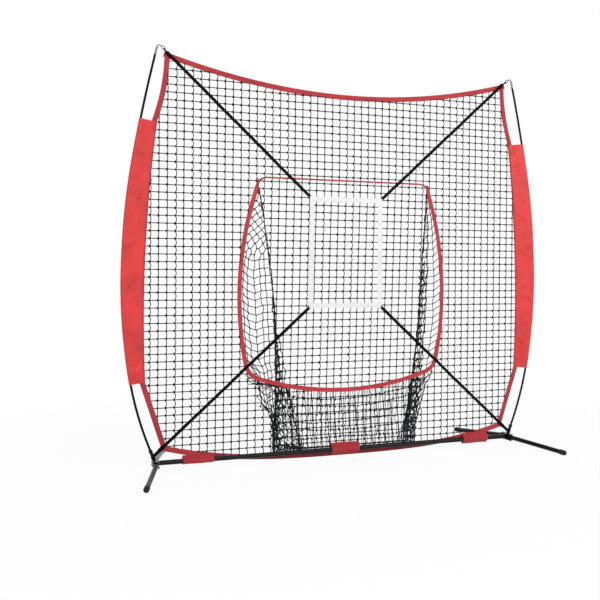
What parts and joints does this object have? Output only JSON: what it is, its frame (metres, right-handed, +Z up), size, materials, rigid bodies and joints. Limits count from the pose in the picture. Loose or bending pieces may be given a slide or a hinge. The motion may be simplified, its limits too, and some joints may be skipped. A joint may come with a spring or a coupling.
{
  "type": "pitching target net",
  "caption": "Bow-framed ball net with a pocket behind its mouth, a strike-zone target on corner straps and fold-in legs.",
  "frame": {"origin": "on the ground, midway between the two hubs, below the base tube", "axes": "+X to the right along the base tube, +Y back through the net towards the pocket, +Z up; balls come from -Y"},
  "size_m": [2.5012, 0.8068, 2.1959],
  "materials": {
    "black_steel": "satin powder coat",
    "zinc_steel": "zinc plated",
    "polished_steel": "bright drawn steel",
    "black_rubber": "matt moulded",
    "black_fibreglass": "pultruded rod, semi-gloss",
    "net_twine": "twisted polyethylene twine",
    "red_webbing": "folded binding tape",
    "red_fabric": "coated polyester cloth",
    "white_webbing": "woven flat webbing",
    "black_webbing": "woven flat webbing"
  },
  "bodies": {
    "frame": {"base_tube_left": "black_steel", "base_tube_middle": "black_steel", "base_tube_right": "black_steel", "left_snap_spring": "zinc_steel", "right_snap_spring": "zinc_steel", "left_hub": "black_steel", "right_hub": "black_steel", "left_pivot_bolts": "zinc_steel", "right_pivot_bolts": "zinc_steel", "left_pivot_nuts": "zinc_steel", "right_pivot_nuts": "zinc_steel", "left_pivot_washers": "zinc_steel", "right_pivot_washers": "zinc_steel", "left_pole_section_1": "black_fibreglass", "left_pole_section_2": "black_fibreglass", "left_pole_section_3": "black_fibreglass", "left_pole_section_4": "black_fibreglass", "right_pole_section_1": "black_fibreglass", "right_pole_section_2": "black_fibreglass", "right_pole_section_3": "black_fibreglass", "right_pole_section_4": "black_fibreglass", "left_pole_ferrules": "polished_steel", "right_pole_ferrules": "polished_steel", "left_top_hook": "polished_steel", "right_top_hook": "polished_steel", "main_net": "net_twine", "pocket_net": "net_twine", "top_binding": "red_webbing", "bottom_binding": "red_webbing", "left_binding": "red_webbing", "right_binding": "red_webbing", "mouth_trim": "red_webbing", "left_sleeve": "red_fabric", "right_sleeve": "red_fabric", "left_base_wrap": "red_fabric", "middle_base_wrap": "red_fabric", "right_base_wrap": "red_fabric", "strike_zone": "white_webbing", "upper_left_strap": "black_webbing", "upper_right_strap": "black_webbing", "lower_left_strap": "black_webbing", "lower_right_strap": "black_webbing", "corner_tabs": "black_webbing"},
    "left_front_leg": {"left_front_leg": "black_steel", "left_front_foot_cap": "black_rubber"},
    "left_rear_leg": {"left_rear_leg": "black_steel", "left_rear_foot_cap": "black_rubber"},
    "right_front_leg": {"right_front_leg": "black_steel", "right_front_foot_cap": "black_rubber"},
    "right_rear_leg": {"right_rear_leg": "black_steel", "right_rear_foot_cap": "black_rubber"},
    "left_snap_button": {"left_snap_button": "zinc_steel"},
    "right_snap_button": {"right_snap_button": "zinc_steel"}
  },
  "joints": [
    {"name": "left_front_leg_fold", "type": "hinge", "parent": "frame", "child": "left_front_leg", "pos_m": [-1.067, -0.036, 0.04], "axis": [0, 0, 1], "range_deg": [0, 108]},
    {"name": "left_rear_leg_fold", "type": "hinge", "parent": "frame", "child": "left_rear_leg", "pos_m": [-1.067, 0.036, 0.04], "axis": [0, 0, -1], "range_deg": [-36, 72]},
    {"name": "right_front_leg_fold", "type": "hinge", "parent": "frame", "child": "right_front_leg", "pos_m": [1.067, -0.036, 0.04], "axis": [0, 0, -1], "range_deg": [0, 108]},
    {"name": "right_rear_leg_fold", "type": "hinge", "parent": "frame", "child": "right_rear_leg", "pos_m": [1.067, 0.036, 0.04], "axis": [0, 0, 1], "range_deg": [-36, 72]},
    {"name": "left_snap_press", "type": "slide", "parent": "frame", "child": "left_snap_button", "axis": [0, -1, 0], "range_m": [0, 0.004], "stiffness_N_per_m": 800},
    {"name": "right_snap_press", "type": "slide", "parent": "frame", "child": "right_snap_button", "axis": [0, -1, 0], "range_m": [0, 0.004], "stiffness_N_per_m": 800}
  ]
}
